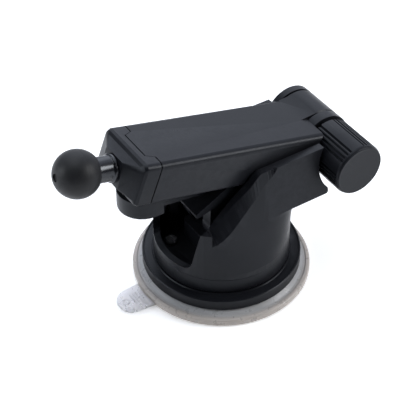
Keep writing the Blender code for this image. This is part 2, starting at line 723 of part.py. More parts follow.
def make_inner_slide(material, parent):
    """The sliding bar: a channel open below, whose rear wall meets the cover's boss at full reach."""
    half = SLIDE_HALF_WIDTH
    front = CAP_HOLLOW_X + 0.3 * MM
    outline = rounded(
        [
            (-half, SLIDE_BOTTOM, 0.6 * MM),
            (half, SLIDE_BOTTOM, 0.6 * MM),
            (half, SLIDE_TOP, 1 * MM),
            (-half, SLIDE_TOP, 1 * MM),
        ],
        2,
    )
    slide = add_object("inner_slide", prism(outline, "X", front, SLIDE_REAR_X), material, parent)
    wall = 2 * MM
    trough = box(
        (front + 9 * MM, SLIDE_REAR_X - SLIDE_END_WALL),
        (-half + wall, half - wall),
        (SLIDE_BOTTOM - MM, SLIDE_TOP - wall),
    )
    cut(slide, trough)
    for y in CAP_SCREW_Y:
        cut(slide, rod(SCREW_HOLE, SLIDE_BOTTOM - MM, 0.5 * MM, centre=(CAP_SCREW_X, y, 0), steps=12))
    pad_low, pad_high = SLIDE_PAD_X
    cut(
        slide,
        box(
            (pad_low - 0.3 * MM, pad_high + 0.3 * MM),
            (-4.3 * MM, 4.3 * MM),
            (SLIDE_TOP - 1.0 * MM, SLIDE_TOP + MM),
        ),
    )
    return slide


def make_slide_pad(material, parent):
    """Friction strip let into the top of the slide."""
    low, high = SLIDE_PAD_X
    return add_object(
        "slide_pad",
        box((low, high), (-4 * MM, 4 * MM), (SLIDE_TOP - 0.7 * MM, SLIDE_TOP + 0.1 * MM)),
        material,
        parent,
    )


def make_slide_stop(material, parent):
    """Bumper inside the sleeve's rear that the slide comes home against."""
    return add_object(
        "slide_bumper",
        box(
            (TROUGH_REAR_X - 2.1 * MM, TROUGH_REAR_X - 0.1 * MM),
            (-6 * MM, 6 * MM),
            (SLIDE_BOTTOM + 0.3 * MM, 4.6 * MM),
        ),
        material,
        parent,
    )


def make_end_cap(material, parent):
    def leaning(top_x, inset):
        return [(top_x - CAP_LEAN * (ARM_TOP - z), y, z) for y, z in arm_outline(inset)]

    # Its edge is rounded over, then a blunt four-sided nose rises to the neck.
    middle = (ARM_TOP + ARM_BOTTOM) / 2
    nose_y, nose_z = 5.6 * MM, 5.4 * MM
    tip = [
        (CAP_NOSE_X, y / ARM_HALF_WIDTH * nose_y, (z - middle) / (ARM_TOP - middle) * nose_z)
        for y, z in arm_outline()
    ]
    sections = [[(SEAM_X + 3 * MM, y, z) for y, z in arm_outline()]]
    sections += [leaning(CAP_FRONT_X + 1.5 * MM, 0), leaning(CAP_FRONT_X + 0.45 * MM, 0.45 * MM)]
    sections += [leaning(CAP_FRONT_X, 1.5 * MM), tip]
    cap = add_object("end_cap", loft(sections), material, parent)
    keep = seam_prism(-0.45 * MM, -100 * MM)
    combine(cap, keep, "INTERSECT")
    inner = SLIDE_HALF_WIDTH + GAP
    cut(
        cap,
        box((CAP_HOLLOW_X, -60 * MM), (-inner, inner), (SLIDE_BOTTOM - GAP, SLIDE_TOP + GAP)),
    )
    cut(cap, rod(3.0 * MM, CAP_NOSE_X - 5 * MM, CAP_FRONT_X + 6 * MM, "X", (0, 0, 0), 20))
    for y in CAP_SCREW_Y:
        cut(
            cap,
            rod(SCREW_HOLE, ARM_BOTTOM - MM, SLIDE_BOTTOM + MM, centre=(CAP_SCREW_X, y, 0), steps=12),
        )
        cut(
            cap,
            rod(
                SCREW_RECESS,
                ARM_BOTTOM - MM,
                ARM_BOTTOM + 1.0 * MM,
                centre=(CAP_SCREW_X, y, 0),
                steps=16,
            ),
        )
    return cap


def make_arm_screws(material, parent):
    """Two screws hold the cap to the slide, and two hold the cover to the sleeve."""
    low = ARM_BOTTOM + 0.05 * MM
    for number, y in enumerate(CAP_SCREW_Y, 1):
        screw(
            f"cap_screw_{number}", CAP_SCREW_X, y, low, -0.6 * MM, material, parent, head_height=0.7 * MM
        )
    for number, y in enumerate(COVER_SCREW_Y, 1):
        screw(
            f"cover_screw_{number}",
            COVER_SCREW_X,
            y,
            low,
            0.6 * MM,
            material,
            parent,
            head_height=0.7 * MM,
        )


def make_ball_stud(material, parent):
    """Neck between cap and ball, with a low collar against the cap's nose and a spigot at each end."""
    spigot = 2.7 * MM
    collar = 5.2 * MM
    face = CAP_NOSE_X - GAP
    reach = BALL_X + 2.5 * MM
    rear = CAP_HOLLOW_X - 0.5 * MM
    profile = [(0, reach), (spigot, reach), (spigot, BALL_X + 6.3 * MM)]
    profile += [(NECK_RADIUS, BALL_X + 6.3 * MM), (NECK_RADIUS, face - 1.3 * MM)]
    profile += [(collar, face - 1.0 * MM), (collar, face), (spigot, face), (spigot, rear), (0, rear)]
    return add_object("ball_stud", turned(profile, 32, "X"), material, parent)


def make_ball(material, parent):
    """17 mm ball with a shallow flat-bottomed dimple at its pole and a bore for the stud."""
    dimple, depth = 1.5 * MM, 0.7 * MM
    inner = 6.0 * MM
    pole = math.sqrt(BALL_RADIUS**2 - dimple**2)
    neck_turn = math.acos(inner / BALL_RADIUS)
    start = math.asin(dimple / BALL_RADIUS)
    profile = [(0, -pole + depth), (dimple, -pole + depth)]
    for k in range(19):
        turn = start + (math.pi - neck_turn - start + 0.0) * k / 18
        profile.append((BALL_RADIUS * math.sin(turn), -BALL_RADIUS * math.cos(turn)))
    profile += [(3.0 * MM, inner), (3.0 * MM, 2.1 * MM), (0, 2.1 * MM)]
    profile = [(r, h + BALL_X) for r, h in profile]
    return add_object("ball_head", turned(profile, 36, "X"), material, parent)


# ---- pivot hardware -------------------------------------------------------------------------------------


def make_pivot_bolt(material):
    head = rod(4.2 * MM, EAR_FAR_Y[1] - 1.1 * MM, EAR_FAR_Y[1] + MM, "Y", (PIVOT.x, 0, PIVOT.z), 6)
    bolt = add_object("pivot_bolt", head, material)
    join(
        bolt,
        rod(
            BOLT_RADIUS,
            KNOB_OUTER_Y + 4.5 * MM,
            EAR_FAR_Y[1] - MM,
            "Y",
            (PIVOT.x, 0, PIVOT.z),
            16,
            0.4 * MM,
        ),
    )
    return bolt


def ring(name, inner, outer, low, high, material, parent=None, centre=(0, 0, 0), steps=32):
    profile = [(inner, low), (outer, low), (outer, high), (inner, high)]
    return add_object(name, turned(profile, steps, "Y", centre), material, parent)


def make_washers(steel, rubber, arm):
    centre = (PIVOT.x, 0, PIVOT.z)
    ring(
        "knob_washer",
        BOLT_HOLE,
        6.5 * MM,
        EAR_NEAR_Y[0] - 0.9 * MM,
        EAR_NEAR_Y[0] - 0.3 * MM,
        steel,
        None,
        centre,
    )
    low = KNUCKLE_NEAR_Y
    ring("friction_washer_near", BOLT_HOLE, 7.0 * MM, low, low + 0.9 * MM, rubber, arm)
    high = ARM_HALF_WIDTH
    ring("friction_washer_far", BOLT_HOLE, 7.0 * MM, high - 0.9 * MM, high, rubber, arm)


def knob_outline(radius):
    """Outline of broad plain panels, parted by bands of grooves and fine ribs."""
    points = []
    groove = 0.078 * radius
    half = math.pi / KNOB_PANELS
    slots = 2 * KNOB_FINE_RIBS + 1
    for k in range(KNOB_PANELS):
        start = KNOB_PHASE + 2 * half * k
        for j in range(4):
            turn = start + half * j / 3
            points.append((radius * math.cos(turn), radius * math.sin(turn)))
        for slot in range(slots):
            here = radius - (0.01 * radius if slot % 2 else groove)
            for j in (0.2, 0.8):
                turn = start + half + half * (slot + j) / slots
                points.append((here * math.cos(turn), here * math.sin(turn)))
    return points


def make_knob(plastic, brass):
    """Ribbed grip with a flat cap on its outer end and a threaded brass insert inside."""
    hub = bpy.data.objects.new("knob_axis", None)
    bpy.context.scene.collection.objects.link(hub)
    hub.location = PIVOT
    cap_depth = 1.6 * MM
    grip_end = KNOB_OUTER_Y + cap_depth + 0.05 * MM
    rings = []
    for y, radius in (
        (grip_end, KNOB_FACE_RADIUS),
        (grip_end + 1.4 * MM, KNOB_RADIUS),
        (KNOB_INNER_Y - 0.4 * MM, KNOB_RADIUS),
        (KNOB_INNER_Y, KNOB_RADIUS - 0.4 * MM),
    ):
        rings.append([(x, y, z) for x, z in knob_outline(radius)])
    grip = add_object("knob_grip", loft(rings), plastic, hub)
    cut(grip, rod(3.5 * MM, grip_end + 2 * MM, 0, "Y", (0, 0, 0), 24))
    insert_low = grip_end + 2.3 * MM
    ring("knob_insert", BOLT_HOLE, 3.3 * MM, insert_low, KNOB_INNER_Y - 0.3 * MM, brass, hub, steps=16)
    rim = KNOB_FACE_RADIUS
    low = KNOB_OUTER_Y
    profile = [
        (0, low),
        (rim - 0.5 * MM, low),
        (rim, low + 0.5 * MM),
        (rim, grip_end - 0.3 * MM),
        (0, grip_end - 0.3 * MM),
    ]
    add_object("knob_cap", turned(profile, 48, "Y"), plastic, hub)


# ---- assembly -------------------------------------------------------------------------------------------


def main():
    clear_scene()
    black = make_material("black_plastic", (0.035, 0.036, 0.042), 0.42)
    gloss = make_material("gloss_black", (0.03, 0.03, 0.036), 0.22)
    rubber = make_material("black_rubber", (0.028, 0.029, 0.032), 0.62)
    gel = make_material("clear_gel", (0.62, 0.60, 0.58), 0.25, alpha=0.75)
    steel = make_material("zinc_steel", (0.62, 0.62, 0.64), 0.3, 1.0)
    brass = make_material("brass", (0.75, 0.58, 0.28), 0.35, 1.0)

    make_gel_cup(gel)
    make_base_plate(black)
    make_cup_housing(black)
    for number, (x, y) in enumerate(DECK_SCREWS, 1):
        screw(f"deck_screw_{number}", x, y, DECK_TOP + 1.8 * MM, PLATE_BOTTOM + 1.2 * MM, steel)
    make_tower(black)
    for number, (x, y) in enumerate(TOWER_SCREWS, 1):
        screw(f"tower_screw_{number}", x, y, HOUSING_BOTTOM + 0.05 * MM, 20.5 * MM, steel)
    make_plunger(gloss)
    make_lever(black)
    add_object(
        "lever_pin", rod(PIN_RADIUS, -10.4 * MM, 10.4 * MM, "Y", (PIN.x, 0, PIN.z), 16, 0.3 * MM), steel
    )

    arm = bpy.data.objects.new("arm_axis", None)
    bpy.context.scene.collection.objects.link(arm)
    arm.location = PIVOT
    arm.rotation_euler = (0, ARM_TILT, 0)
    make_arm_sleeve(black, arm)
    make_bottom_cover(black, arm)
    make_slide_stop(rubber, arm)
    make_inner_slide(gloss, arm)
    make_slide_pad(rubber, arm)
    make_end_cap(black, arm)
    make_arm_screws(steel, arm)
    make_ball_stud(gloss, arm)
    make_ball(rubber, arm)

    make_pivot_bolt(steel)
    make_washers(steel, rubber, arm)
    make_knob(black, brass)


main()
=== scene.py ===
"""Looks of the folding car phone mount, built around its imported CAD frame."""

import json
import math

import bmesh
import bpy
from mathutils import Matrix, Vector


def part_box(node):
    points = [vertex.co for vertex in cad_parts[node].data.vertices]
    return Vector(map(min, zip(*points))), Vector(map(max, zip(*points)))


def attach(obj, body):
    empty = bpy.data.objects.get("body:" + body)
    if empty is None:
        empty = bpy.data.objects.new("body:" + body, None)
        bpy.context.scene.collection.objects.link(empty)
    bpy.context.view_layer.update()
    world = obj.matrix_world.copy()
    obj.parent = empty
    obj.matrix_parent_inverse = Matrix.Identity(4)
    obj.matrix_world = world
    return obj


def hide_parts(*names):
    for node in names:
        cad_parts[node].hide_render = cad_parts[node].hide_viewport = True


MM = 0.001
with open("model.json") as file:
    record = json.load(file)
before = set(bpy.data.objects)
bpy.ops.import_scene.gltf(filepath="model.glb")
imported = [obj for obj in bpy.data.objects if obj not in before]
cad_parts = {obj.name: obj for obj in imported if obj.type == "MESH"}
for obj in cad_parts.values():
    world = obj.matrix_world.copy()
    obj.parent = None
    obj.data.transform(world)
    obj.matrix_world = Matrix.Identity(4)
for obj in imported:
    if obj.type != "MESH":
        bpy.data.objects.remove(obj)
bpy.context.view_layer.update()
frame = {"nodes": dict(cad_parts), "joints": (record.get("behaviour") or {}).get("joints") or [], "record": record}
NODE_SLOT = {row["node"]: row["material_slot"] for row in frame["record"]["subparts"]}
NODE_BODY = {node: body for body, nodes in frame["record"]["behaviour"]["bodies"].items() for node in nodes}

# ---- camera and studio ----------------------------------------------------------------------------------

CAMERA_PLACE = Vector((-0.19418, -0.28746, 0.33994))
CAMERA_LOOK = Vector((0.40711, 0.62234, -0.66855))
CAMERA_LENS = 107.45  # millimetres
CAMERA_SENSOR = 36  # millimetres

# Directions from the object to the dark end and the bright end of the room, and the strengths of its light
DARK_SIDE = (-0.62, -0.74, 0.25)
BRIGHT_SIDE = (0.42, 0.62, 0.66)
ROOM_LIGHT = 0.28
DARK_LIGHT = 0.02
WINDOW_LIGHT = 1.12
ROOM_COLOUR = (0.89, 0.94, 1.08)

# Softboxes: place and size in metres, watts and colour
COOL = (0.90, 0.95, 1.0)
SOFTBOXES = {
    "overhead": ((-0.10, 0.10, 0.80), (0.7, 0.6), 2.4, COOL),
    "left": ((-0.75, 0.30, 0.35), (0.5, 0.5), 3.0, COOL),
    "rear": ((0.35, 0.70, 0.65), (0.9, 0.5), 1.2, COOL),
    "front_right": ((0.64, -0.54, 0.50), (0.5, 0.4), 6.0, (1, 1, 1)),
}
LIGHT_TARGET = Vector((0, 0, 0.03))

# Metres: half the floor's side, and how far it lies below the gel so that their faces don't coincide
FLOOR_HALF = 3.0
FLOOR_DROP = 0.0002
FLOOR_COLOUR = (0.93, 0.93, 0.93)
FLOOR_GLOW = 0.30


def make_camera():
    data = bpy.data.cameras.new("camera")
    data.sensor_width = CAMERA_SENSOR
    data.lens = CAMERA_LENS
    data.clip_end = 10
    camera = bpy.data.objects.new("camera", data)
    camera.location = CAMERA_PLACE
    camera.rotation_euler = CAMERA_LOOK.to_track_quat("-Z", "Y").to_euler()
    bpy.context.scene.collection.objects.link(camera)
    bpy.context.scene.camera = camera


def make_light(name, place, size, power, colour):
    data = bpy.data.lights.new(name, "AREA")
    data.shape = "RECTANGLE"
    data.size, data.size_y = size
    data.energy = power
    data.color = colour
    light = bpy.data.objects.new(name, data)
    light.location = place
    light.rotation_euler = (LIGHT_TARGET - Vector(place)).to_track_quat("-Z", "Y").to_euler()
    bpy.context.scene.collection.objects.link(light)


def make_studio():
    """Four softboxes, in a room that is bright behind the object and dark at its front left."""
    scene = bpy.context.scene
    scene.view_settings.view_transform = "Standard"
    world = bpy.data.worlds.new("studio")
    scene.world = world
    world.use_nodes = True
    tree = world.node_tree
    place = tree.nodes.new("ShaderNodeTexCoord").outputs["Generated"]

    def lobe(direction, start, end, low, high):
        """A level that goes from low to high as the cosine to the direction goes from start to end."""
        facing = tree.nodes.new("ShaderNodeVectorMath")
        facing.operation = "DOT_PRODUCT"
        facing.inputs[1].default_value = Vector(direction).normalized()
        tree.links.new(place, facing.inputs[0])
        level = tree.nodes.new("ShaderNodeMapRange")
        level.interpolation_type = "SMOOTHSTEP"
        for name, value in zip(("From Min", "From Max", "To Min", "To Max"), (start, end, low, high)):
            level.inputs[name].default_value = value
        tree.links.new(facing.outputs["Value"], level.inputs["Value"])
        return level.outputs["Result"]

    add = tree.nodes.new("ShaderNodeMath")
    tree.links.new(lobe(DARK_SIDE, -0.1, 0.72, ROOM_LIGHT, DARK_LIGHT), add.inputs[0])
    tree.links.new(lobe(BRIGHT_SIDE, 0.45, 1.0, 0.0, WINDOW_LIGHT), add.inputs[1])
    background = tree.nodes["Background"]
    background.inputs["Color"].default_value = (*ROOM_COLOUR, 1)
    tree.links.new(add.outputs["Value"], background.inputs["Strength"])
    for name, settings in SOFTBOXES.items():
        make_light(name, *settings)


def make_floor():
    """A wide sheet of matt white paper that glows a little, so that it stays pale in the shade."""
    bm = bmesh.new()
    signs = ((-1, -1), (1, -1), (1, 1), (-1, 1))
    bm.faces.new([bm.verts.new((x * FLOOR_HALF, y * FLOOR_HALF, -FLOOR_DROP)) for x, y in signs])
    mesh = bpy.data.meshes.new("floor")
    bm.to_mesh(mesh)
    bm.free()
    floor = bpy.data.objects.new("floor", mesh)
    bpy.context.scene.collection.objects.link(floor)
    material = bpy.data.materials.new("floor_paper")
    material.use_nodes = True
    shader = material.node_tree.nodes["Principled BSDF"]
    shader.inputs["Base Color"].default_value = (*FLOOR_COLOUR, 1)
    shader.inputs["Roughness"].default_value = 0.9
    shader.inputs["Specular IOR Level"].default_value = 0.1
    shader.inputs["Emission Color"].default_value = (1, 1, 1, 1)
    shader.inputs["Emission Strength"].default_value = FLOOR_GLOW
    mesh.materials.append(material)


# ---- materials ------------------------------------------------------------------------------------------


class Nodes:
    """A material's node tree, with short calls for the nodes used here. Noise scales are per metre."""

    def __init__(self, name):
        self.material = bpy.data.materials.new(name)
        self.material.use_nodes = True
        self.tree = self.material.node_tree
        self.shader = self.tree.nodes["Principled BSDF"]
        self.place = self.tree.nodes.new("ShaderNodeTexCoord").outputs["Object"]

    def link(self, out, target):
        self.tree.links.new(out, target)

    def noise(self, scale, detail, rough, stretch=None):
        """Noise over the object's own space; stretch is a scale and a rotation of that space."""
        node = self.tree.nodes.new("ShaderNodeTexNoise")
        node.inputs["Scale"].default_value = scale
        node.inputs["Detail"].default_value = detail
        node.inputs["Roughness"].default_value = rough
        place = self.place
        if stretch:
            mapping = self.tree.nodes.new("ShaderNodeMapping")
            mapping.inputs["Scale"].default_value = stretch[0]
            mapping.inputs["Rotation"].default_value = stretch[1]
            self.link(place, mapping.inputs["Vector"])
            place = mapping.outputs["Vector"]
        self.link(place, node.inputs["Vector"])
        return node.outputs["Fac"]

    def span(self, value, low, high, to_low, to_high):
        """Maps a value's range from low to high onto another range, clamped at its ends."""
        node = self.tree.nodes.new("ShaderNodeMapRange")
        node.inputs["From Min"].default_value = low
        node.inputs["From Max"].default_value = high
        node.inputs["To Min"].default_value = to_low
        node.inputs["To Max"].default_value = to_high
        self.link(value, node.inputs["Value"])
        return node.outputs["Result"]

    def math(self, operation, a, b):
        node = self.tree.nodes.new("ShaderNodeMath")
        node.operation = operation
        for socket, value in zip(node.inputs, (a, b)):
            if isinstance(value, (int, float)):
                socket.default_value = value
            else:
                self.link(value, socket)
        return node.outputs["Value"]

    def mix(self, factor, a, b):
        node = self.tree.nodes.new("ShaderNodeMix")
        node.data_type = "RGBA"
        self.link(factor, node.inputs["Factor"])
        for name, value in (("A", a), ("B", b)):
            socket = [s for s in node.inputs if s.name == name and s.type == "RGBA"][0]
            if isinstance(value, tuple):
                socket.default_value = (*value, 1)
            else:
                self.link(value, socket)
        return [s for s in node.outputs if s.type == "RGBA"][0]

    def bump(self, height, strength, distance, under=None):
        """A bump of that depth in metres, on top of another one where under is given."""
        node = self.tree.nodes.new("ShaderNodeBump")
        node.inputs["Strength"].default_value = strength
        node.inputs["Distance"].default_value = distance
        self.link(height, node.inputs["Height"])
        if under:
            self.link(under, node.inputs["Normal"])
        return node.outputs["Normal"]

    def pointiness(self):
        """High on outer edges, where a part is rubbed and where its edges are lightened as a painted highlight."""
        return self.tree.nodes.new("ShaderNodeNewGeometry").outputs["Pointiness"]


def moulded_plastic(name, dark, light, rough, grain=0.35, edge_wear_and_highlight=0.3, scratches=0.10, shine=0.17):
    """Injection-moulded black ABS: spark-eroded grain, uneven sheen, rubbed edges that are also lightened as a
    painted edge highlight, and hairline scratches.
    """
    n = Nodes(name)
    cloud = n.noise(55, 4, 0.6)
    colour = n.mix(n.span(cloud, 0.3, 0.7, 0, 1), dark, light)
    speck = n.span(n.noise(2600, 2, 0.6), 0.68, 0.76, 0, 0.10)
    colour = n.mix(speck, colour, tuple(c * 1.8 + 0.008 for c in light))
    # Outer edges lightened towards a paler tone: partly rubbed wear, partly a painted edge highlight.
    edge = n.span(n.pointiness(), 0.52, 0.58, 0, edge_wear_and_highlight)
    edge = n.math("MULTIPLY", edge, n.span(n.noise(420, 3, 0.7), 0.35, 0.6, 0.35, 1))
    colour = n.mix(edge, colour, tuple(c * 2.0 + 0.010 for c in light))
    one = n.span(n.noise(90, 2, 0.5, ((1, 26, 9), (0.2, 0.4, 0.5))), 0.665, 0.70, 0, 1)
    two = n.span(n.noise(120, 2, 0.5, ((24, 1, 7), (0.1, -0.3, 0.9))), 0.675, 0.71, 0, 1)
    lines = n.math("MULTIPLY", n.math("MAXIMUM", one, two), scratches)
    colour = n.mix(lines, colour, tuple(c * 2.2 + 0.012 for c in light))
    n.link(colour, n.shader.inputs["Base Color"])
    sheen = n.span(cloud, 0.25, 0.75, rough - 0.04, rough + 0.05)
    sheen = n.math("SUBTRACT", sheen, n.math("MULTIPLY", edge, 0.12))
    sheen = n.math("ADD", sheen, n.span(n.noise(900, 3, 0.7), 0.3, 0.7, -0.03, 0.03))
    n.link(sheen, n.shader.inputs["Roughness"])
    fine = n.bump(n.noise(5200, 3, 0.65), grain, 0.00002)
    flow = n.bump(n.noise(130, 2, 0.5), 0.08, 0.0002, fine)
    n.link(n.bump(lines, -0.3, 0.00003, flow), n.shader.inputs["Normal"])
    n.shader.inputs["Specular IOR Level"].default_value = shine
    n.shader.inputs["Specular Tint"].default_value = (0.90, 0.94, 1.0, 1)
    return n.material


def soft_rubber(name, dark, light, rough):
    """Soft rubber: dull skin with a fine orange-peel, lint specks and rubbed patches."""
    n = Nodes(name)
    cloud = n.noise(160, 5, 0.65)
    colour = n.mix(n.span(cloud, 0.35, 0.68, 0, 1), dark, light)
    lint = n.span(n.noise(1500, 2, 0.7), 0.70, 0.76, 0, 0.5)
    colour = n.mix(lint, colour, tuple(c * 2.4 + 0.02 for c in light))
    n.link(colour, n.shader.inputs["Base Color"])
    n.link(n.span(cloud, 0.3, 0.7, rough - 0.08, rough + 0.06), n.shader.inputs["Roughness"])
    fine = n.bump(n.noise(3200, 3, 0.6), 0.4, 0.00003)
    n.link(n.bump(n.noise(500, 2, 0.5), 0.2, 0.00006, fine), n.shader.inputs["Normal"])
    n.shader.inputs["Specular IOR Level"].default_value = 0.25
    n.shader.inputs["Sheen Weight"].default_value = 0.04
    n.shader.inputs["Sheen Roughness"].default_value = 0.5
    return n.material


def clear_gel(name, body, rim, tab, see_through, rough):
    """Tacky translucent gel, cloudy inside: the body, its yellowed outer rim and the clear pull tab.

    The zones follow the distance from the cup's axis, which is the frame's Z axis.
    """
    rim_zone = (0.0315, 0.0334)  # metres from the axis, from where the colour starts to change
    tab_zone = (0.0345, 0.0352)
    n = Nodes(name)
    flat = n.tree.nodes.new("ShaderNodeVectorMath")
    flat.operation = "MULTIPLY"
    flat.inputs[1].default_value = (1, 1, 0)
    n.link(n.place, flat.inputs[0])
    radius = n.tree.nodes.new("ShaderNodeVectorMath")
    radius.operation = "LENGTH"
    n.link(flat.outputs["Vector"], radius.inputs[0])
    out = n.math("ADD", radius.outputs["Value"], n.span(n.noise(150, 2, 0.5), 0.3, 0.7, -0.0002, 0.0002))
    cloud = n.noise(110, 4, 0.6)
    mixed = n.mix(n.span(cloud, 0.3, 0.7, 0, 1), body, tuple(c * 0.94 for c in body))
    mixed = n.mix(n.span(out, *rim_zone, 0, 1), mixed, rim)
    mixed = n.mix(n.span(out, *tab_zone, 0, 1), mixed, tab)
    n.link(mixed, n.shader.inputs["Base Color"])
    n.link(n.span(n.noise(380, 3, 0.6), 0.3, 0.7, rough - 0.06, rough + 0.08), n.shader.inputs["Roughness"])
    clear = n.span(out, *tab_zone, see_through, see_through + 0.4)
    n.link(clear, n.shader.inputs["Transmission Weight"])
    n.shader.inputs["IOR"].default_value = 1.42
    n.shader.inputs["Subsurface Weight"].default_value = 0.3
    n.shader.inputs["Subsurface Radius"].default_value = (1.0, 0.95, 0.85)
    n.shader.inputs["Subsurface Scale"].default_value = 0.004
    fine = n.bump(n.noise(900, 2, 0.5), 0.04, 0.00002)
    n.link(n.bump(n.noise(90, 2, 0.5), 0.08, 0.0002, fine), n.shader.inputs["Normal"])
    return n.material


def plated_metal(name, dark, light, rough):
    """Plated or turned metal: lathe lines, tarnish in patches and bright edges."""
    n = Nodes(name)
    cloud = n.noise(260, 4, 0.65)
    colour = n.mix(n.span(cloud, 0.35, 0.7, 0, 1), dark, light)
    edge = n.span(n.pointiness(), 0.51, 0.56, 0, 0.6)
    n.link(n.mix(edge, colour, tuple(c * 1.25 for c in light)), n.shader.inputs["Base Color"])
    n.link(n.span(n.noise(800, 3, 0.7), 0.3, 0.7, rough - 0.08, rough + 0.1), n.shader.inputs["Roughness"])
    n.shader.inputs["Metallic"].default_value = 1.0
    n.link(n.bump(n.noise(2400, 2, 0.6, ((1, 8, 1), (0, 0, 0))), 0.15, 0.00002), n.shader.inputs["Normal"])
    return n.material


# ---- mesh tools -----------------------------------------------------------------------------------------

BEVEL_ANGLE = 28  # degrees; edges that turn less than this aren't rounded


def shade(mesh, angle):
    """Smooth shading, with edges above the angle in degrees kept sharp."""
    mesh.shade_smooth()
    mesh.set_sharp_from_angle(angle=math.radians(angle))


def finish_piece(name, mesh, material, node):
    """Puts a mesh in the scene in place of a CAD node, on that node's body."""
    piece = bpy.data.objects.new(name, mesh)
    bpy.context.scene.collection.objects.link(piece)
    mesh.materials.clear()
    mesh.materials.append(material)
    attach(piece, NODE_BODY[node])
    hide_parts(node)
    return piece


def bevelled(node, name, material, width, flat, angle, even):
    """The CAD node's shape with its flats merged and its hard edges rounded.

    Faces merge where they meet under the angle flat, in degrees. Edges above the second angle stay
    sharp. An even piece has its normals weighted by area.
    """
    bm = bmesh.new()
    bm.from_mesh(frame["nodes"][node].data)
    bmesh.ops.remove_doubles(bm, verts=bm.verts, dist=0.002 * MM)
    bmesh.ops.dissolve_limit(bm, angle_limit=math.radians(flat), verts=bm.verts, edges=bm.edges)
    bmesh.ops.dissolve_degenerate(bm, edges=bm.edges, dist=0.01 * MM)
    mesh = bpy.data.meshes.new(name)
    bm.to_mesh(mesh)
    bm.free()
    shade(mesh, angle)
    piece = finish_piece(name, mesh, material, node)
    modifier = piece.modifiers.new("Edges", "BEVEL")
    modifier.width = width
    modifier.segments = 3
    modifier.limit_method = "ANGLE"
    modifier.angle_limit = math.radians(BEVEL_ANGLE)
    modifier.use_clamp_overlap = True
    modifier.harden_normals = not even
    modifier.miter_outer = "MITER_ARC"
    if even:
        # Hardened normals would shade each strip of a curved face flat; area weights keep it smooth.
        normals = piece.modifiers.new("Normals", "WEIGHTED_NORMAL")
        normals.mode = "FACE_AREA"
        normals.weight = 50
        normals.keep_sharp = True


def soften(corners, steps=5, closed=False):
    """Points along a run of (a, b, radius) corners in millimetres, each rounded in that many steps."""
    points = []
    last = len(corners) - 1
    for k, (a, b, radius) in enumerate(corners):
        here = Vector((a, b))
        if radius <= 0 or (not closed and k in (0, last)):
            points.append(here)
            continue
        before = (Vector(corners[k - 1][:2]) - here).normalized()
        after = (Vector(corners[(k + 1) % len(corners)][:2]) - here).normalized()
        half = before.angle(after) / 2
        centre = here + (before + after).normalized() * radius / math.sin(half)
        start = here + before * radius / math.tan(half) - centre
        end = here + after * radius / math.tan(half) - centre
        low = math.atan2(start.y, start.x)
        sweep = (math.atan2(end.y, end.x) - low + math.pi) % math.tau - math.pi
        for j in range(steps + 1):
            turn = low + sweep * j / steps
            points.append(centre + radius * Vector((math.cos(turn), math.sin(turn))))
    return points


def skin(bm, rings, first_pole=None, last_pole=None):
    """Quads between equal rings of points, with a fan to a point at either end."""
    rows = [[bm.verts.new(p) for p in ring] for ring in rings]
    count = len(rows[0])
    for low, high in zip(rows, rows[1:]):
        for j in range(count):
            k = (j + 1) % count
            bm.faces.new((low[j], low[k], high[k], high[j]))
    for pole, row, step in ((first_pole, rows[0], -1), (last_pole, rows[-1], 1)):
        if pole is None:
            continue
        tip = bm.verts.new(pole)
        for j in range(count):
            pair = (row[j], row[(j + 1) % count])
            bm.faces.new((*pair[::step], tip))


def lathe(bm, points, steps, axis="Z", centre=(0, 0, 0)):
    """Turns a profile of (radius, height) millimetres, which starts and ends on the axis, about it."""
    centre = Vector(centre)

    def spot(radius, height, turn):
        a, b = radius * math.cos(turn), radius * math.sin(turn)
        local = {"X": (height, a, b), "Y": (b, height, a), "Z": (a, b, height)}[axis]
        return (centre + Vector(local)) * MM

    rings = [[spot(p[0], p[1], math.tau * j / steps) for j in range(steps)] for p in points[1:-1]]
    skin(bm, rings, spot(0, points[0][1], 0), spot(0, points[-1][1], 0))


def block(bm, middle, size, edge, top):
    """A bar with rounded edges whose top is narrowed by the factor top, in millimetres."""
    made = bmesh.ops.create_cube(bm, size=1)["verts"]
    for v in made:
        width = top if v.co.z > 0 else 1.0
        v.co = Vector((v.co.x * size[0] * width, v.co.y * size[1] * width, v.co.z * size[2])) * MM
    edges = list(dict.fromkeys(e for v in made for e in v.link_edges))
    out = bmesh.ops.bevel(bm, geom=edges, offset=edge * MM, segments=2, affect="EDGES", clamp_overlap=True)
    whole = [v for f in out["faces"] for v in f.verts] + [v for v in made if v.is_valid]
    bmesh.ops.translate(bm, vec=Vector(middle) * MM, verts=list(dict.fromkeys(whole)))


def into_mesh(bm, name, angle):
    """A new mesh with its faces pointing out, shaded smooth up to the angle."""
    bmesh.ops.recalc_face_normals(bm, faces=bm.faces)
    mesh = bpy.data.meshes.new(name)
    bm.to_mesh(mesh)
    bm.free()
    shade(mesh, angle)
    return mesh


# ---- detailed pieces ------------------------------------------------------------------------------------


def millimetres(length):
    """A length of the frame in millimetres, to the frame's own 0.01 mm."""
    return round(length / MM, 2)


# All in millimetres, and from the frame where it holds them
JOINTS = {joint["name"]: joint for joint in frame["joints"]}
PIVOT = Vector(JOINTS["arm_fold"]["pos_m"]) / MM
SLIDE_WAY = JOINTS["arm_extend"]["axis"]
ARM_TILT = math.atan2(SLIDE_WAY[2], -SLIDE_WAY[0])  # the folded arm's slope, up towards the ball

CUP_RADIUS = millimetres(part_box("gel_cup")[1].y)
TAB_END = -millimetres(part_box("gel_cup")[0].x)
TAB_HALF = 5.5
TAB_ROOT = CUP_RADIUS - 3.4
TAB_TOP = 1.6
TAB_RIBS = 4
TAB_FIRST_RIB = 36.2
TAB_RIB_STEP = 1.25
TAB_RING = Vector((-43.0, 0, 1.55))
TAB_RING_RADIUS = 1.3
TAB_RING_WIRE = 0.3

